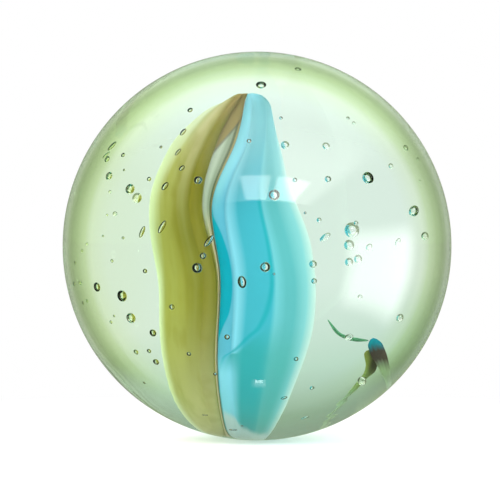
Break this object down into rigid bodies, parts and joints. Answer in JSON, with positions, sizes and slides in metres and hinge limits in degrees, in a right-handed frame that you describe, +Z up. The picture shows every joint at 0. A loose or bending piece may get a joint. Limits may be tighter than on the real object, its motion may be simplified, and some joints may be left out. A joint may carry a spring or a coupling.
{
  "type": "glass marble",
  "caption": "Clear pale green glass ball with bubbles in it and an olive and a turquoise vane fused inside that meet along a curved seam.",
  "frame": {"origin": "centre of the ball", "axes": "+Z up as the ball is seen in the picture, -Y towards the side where the two vanes meet along the seam, +X towards the blue vane's side"},
  "size_m": [0.025, 0.025, 0.025],
  "materials": {
    "clear_glass": "polished",
    "olive_glass": "fused inside the clear glass",
    "blue_glass": "fused inside the clear glass"
  },
  "bodies": {
    "root": {"glass_body": "clear_glass", "olive_vane": "olive_glass", "blue_vane": "blue_glass"}
  },
  "joints": []
}
